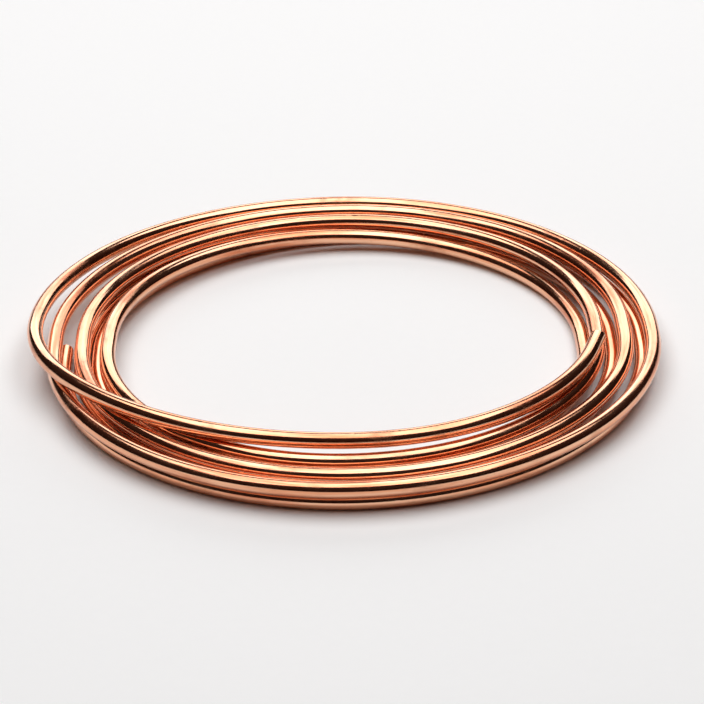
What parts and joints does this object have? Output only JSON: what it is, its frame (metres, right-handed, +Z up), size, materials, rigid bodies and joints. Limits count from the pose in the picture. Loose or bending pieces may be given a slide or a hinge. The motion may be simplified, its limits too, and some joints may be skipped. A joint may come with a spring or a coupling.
{
  "type": "copper tube coil",
  "caption": "Flat coil of bare soft copper tube wound in loose layers, its last turn lying over the rest, with open cut ends for joining.",
  "frame": {"origin": "on the floor under the middle of the coil's outline", "axes": "+Z up out of the floor along the coil's axis, +Y to the side where the loose last turn swings out, +X to the side of the free end"},
  "size_m": [0.3756, 0.3815, 0.0292],
  "materials": {
    "copper": "bright drawn copper with fine lengthwise draw lines and light tarnish"
  },
  "bodies": {
    "root": {"tube_coil": "copper"}
  },
  "joints": []
}
